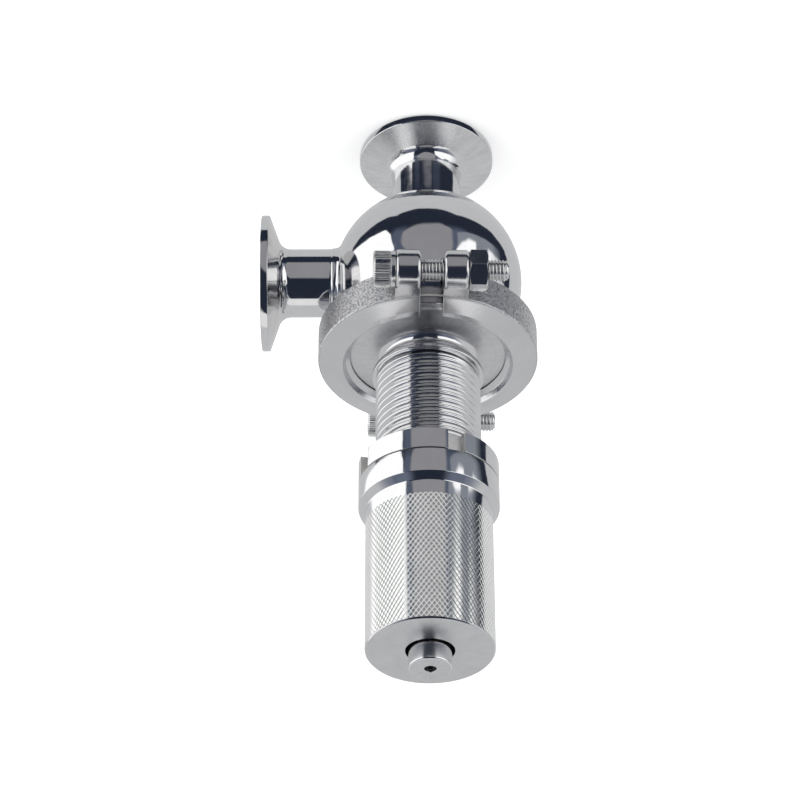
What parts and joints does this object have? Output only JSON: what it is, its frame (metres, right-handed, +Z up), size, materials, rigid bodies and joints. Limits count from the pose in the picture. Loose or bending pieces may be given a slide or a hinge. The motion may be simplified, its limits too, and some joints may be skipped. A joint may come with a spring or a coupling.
{
  "type": "sanitary pressure relief valve",
  "caption": "Angle relief valve in polished stainless steel: ball body with clamp ends, bolted clamp, threaded bonnet with spring, lock ring and knurled adjusting cap.",
  "frame": {"origin": "centre of the inlet clamp end's face", "axes": "+Z up the stem towards the adjusting cap, +X out of the side outlet, -Y the side with the front clamp screw, which the picture looks at"},
  "size_m": [0.1011, 0.1087, 0.225],
  "materials": {
    "polished_steel": "mirror polished stainless steel",
    "cast_steel": "investment cast stainless steel, matt outside with a smoother front face",
    "fastener_steel": "bright stainless steel",
    "spring_steel": "drawn stainless spring wire",
    "seal_rubber": "black rubber",
    "gasket_rubber": "white silicone rubber",
    "guide_plastic": "white PTFE"
  },
  "bodies": {
    "housing": {"inlet_ferrule": "polished_steel", "outlet_ferrule": "polished_steel", "body_ball": "polished_steel", "body_flange": "polished_steel", "valve_seat": "polished_steel", "guide_bush": "guide_plastic", "stem_seal": "seal_rubber", "bonnet": "polished_steel", "gasket": "gasket_rubber", "clamp_half_outlet": "cast_steel", "clamp_half_far": "cast_steel", "clamp_screws": "fastener_steel", "clamp_nuts": "fastener_steel", "spring": "spring_steel"},
    "stem_assembly": {"stem": "polished_steel", "disc": "polished_steel", "disc_seal": "seal_rubber", "lower_spring_plate": "polished_steel", "button": "polished_steel", "button_screw": "fastener_steel"},
    "upper_plate": {"upper_spring_plate": "polished_steel"},
    "cap": {"cap": "polished_steel"},
    "lock_ring": {"lock_ring": "polished_steel"}
  },
  "joints": [
    {"name": "stem_lift", "type": "slide", "parent": "housing", "child": "stem_assembly", "axis": [0, 0, 1], "range_m": [0, 0.006], "stiffness_N_per_m": 11500, "springref_m": -0.01, "deforming": ["spring"]},
    {"name": "cap_travel", "type": "slide", "parent": "housing", "child": "upper_plate", "axis": [0, 0, 1], "range_m": [-0.008, 0.009], "deforming": ["spring"]},
    {"name": "cap_turn", "type": "hinge", "parent": "upper_plate", "child": "cap", "pos_m": [0, 0, 0.18], "axis": [0, 0, 1], "range_deg": [-960.1, 1080.1]},
    {"name": "lock_ring_turn", "type": "hinge", "parent": "upper_plate", "child": "lock_ring", "pos_m": [0, 0, 0.146], "axis": [0, 0, 1], "range_deg": [-960.1, 1080.1]}
  ],
  "couplings": [
    {"joint": "cap_turn", "follows": "cap_travel", "rad_per_m": 2094.4},
    {"joint": "lock_ring_turn", "follows": "cap_travel", "rad_per_m": 2094.4}
  ]
}
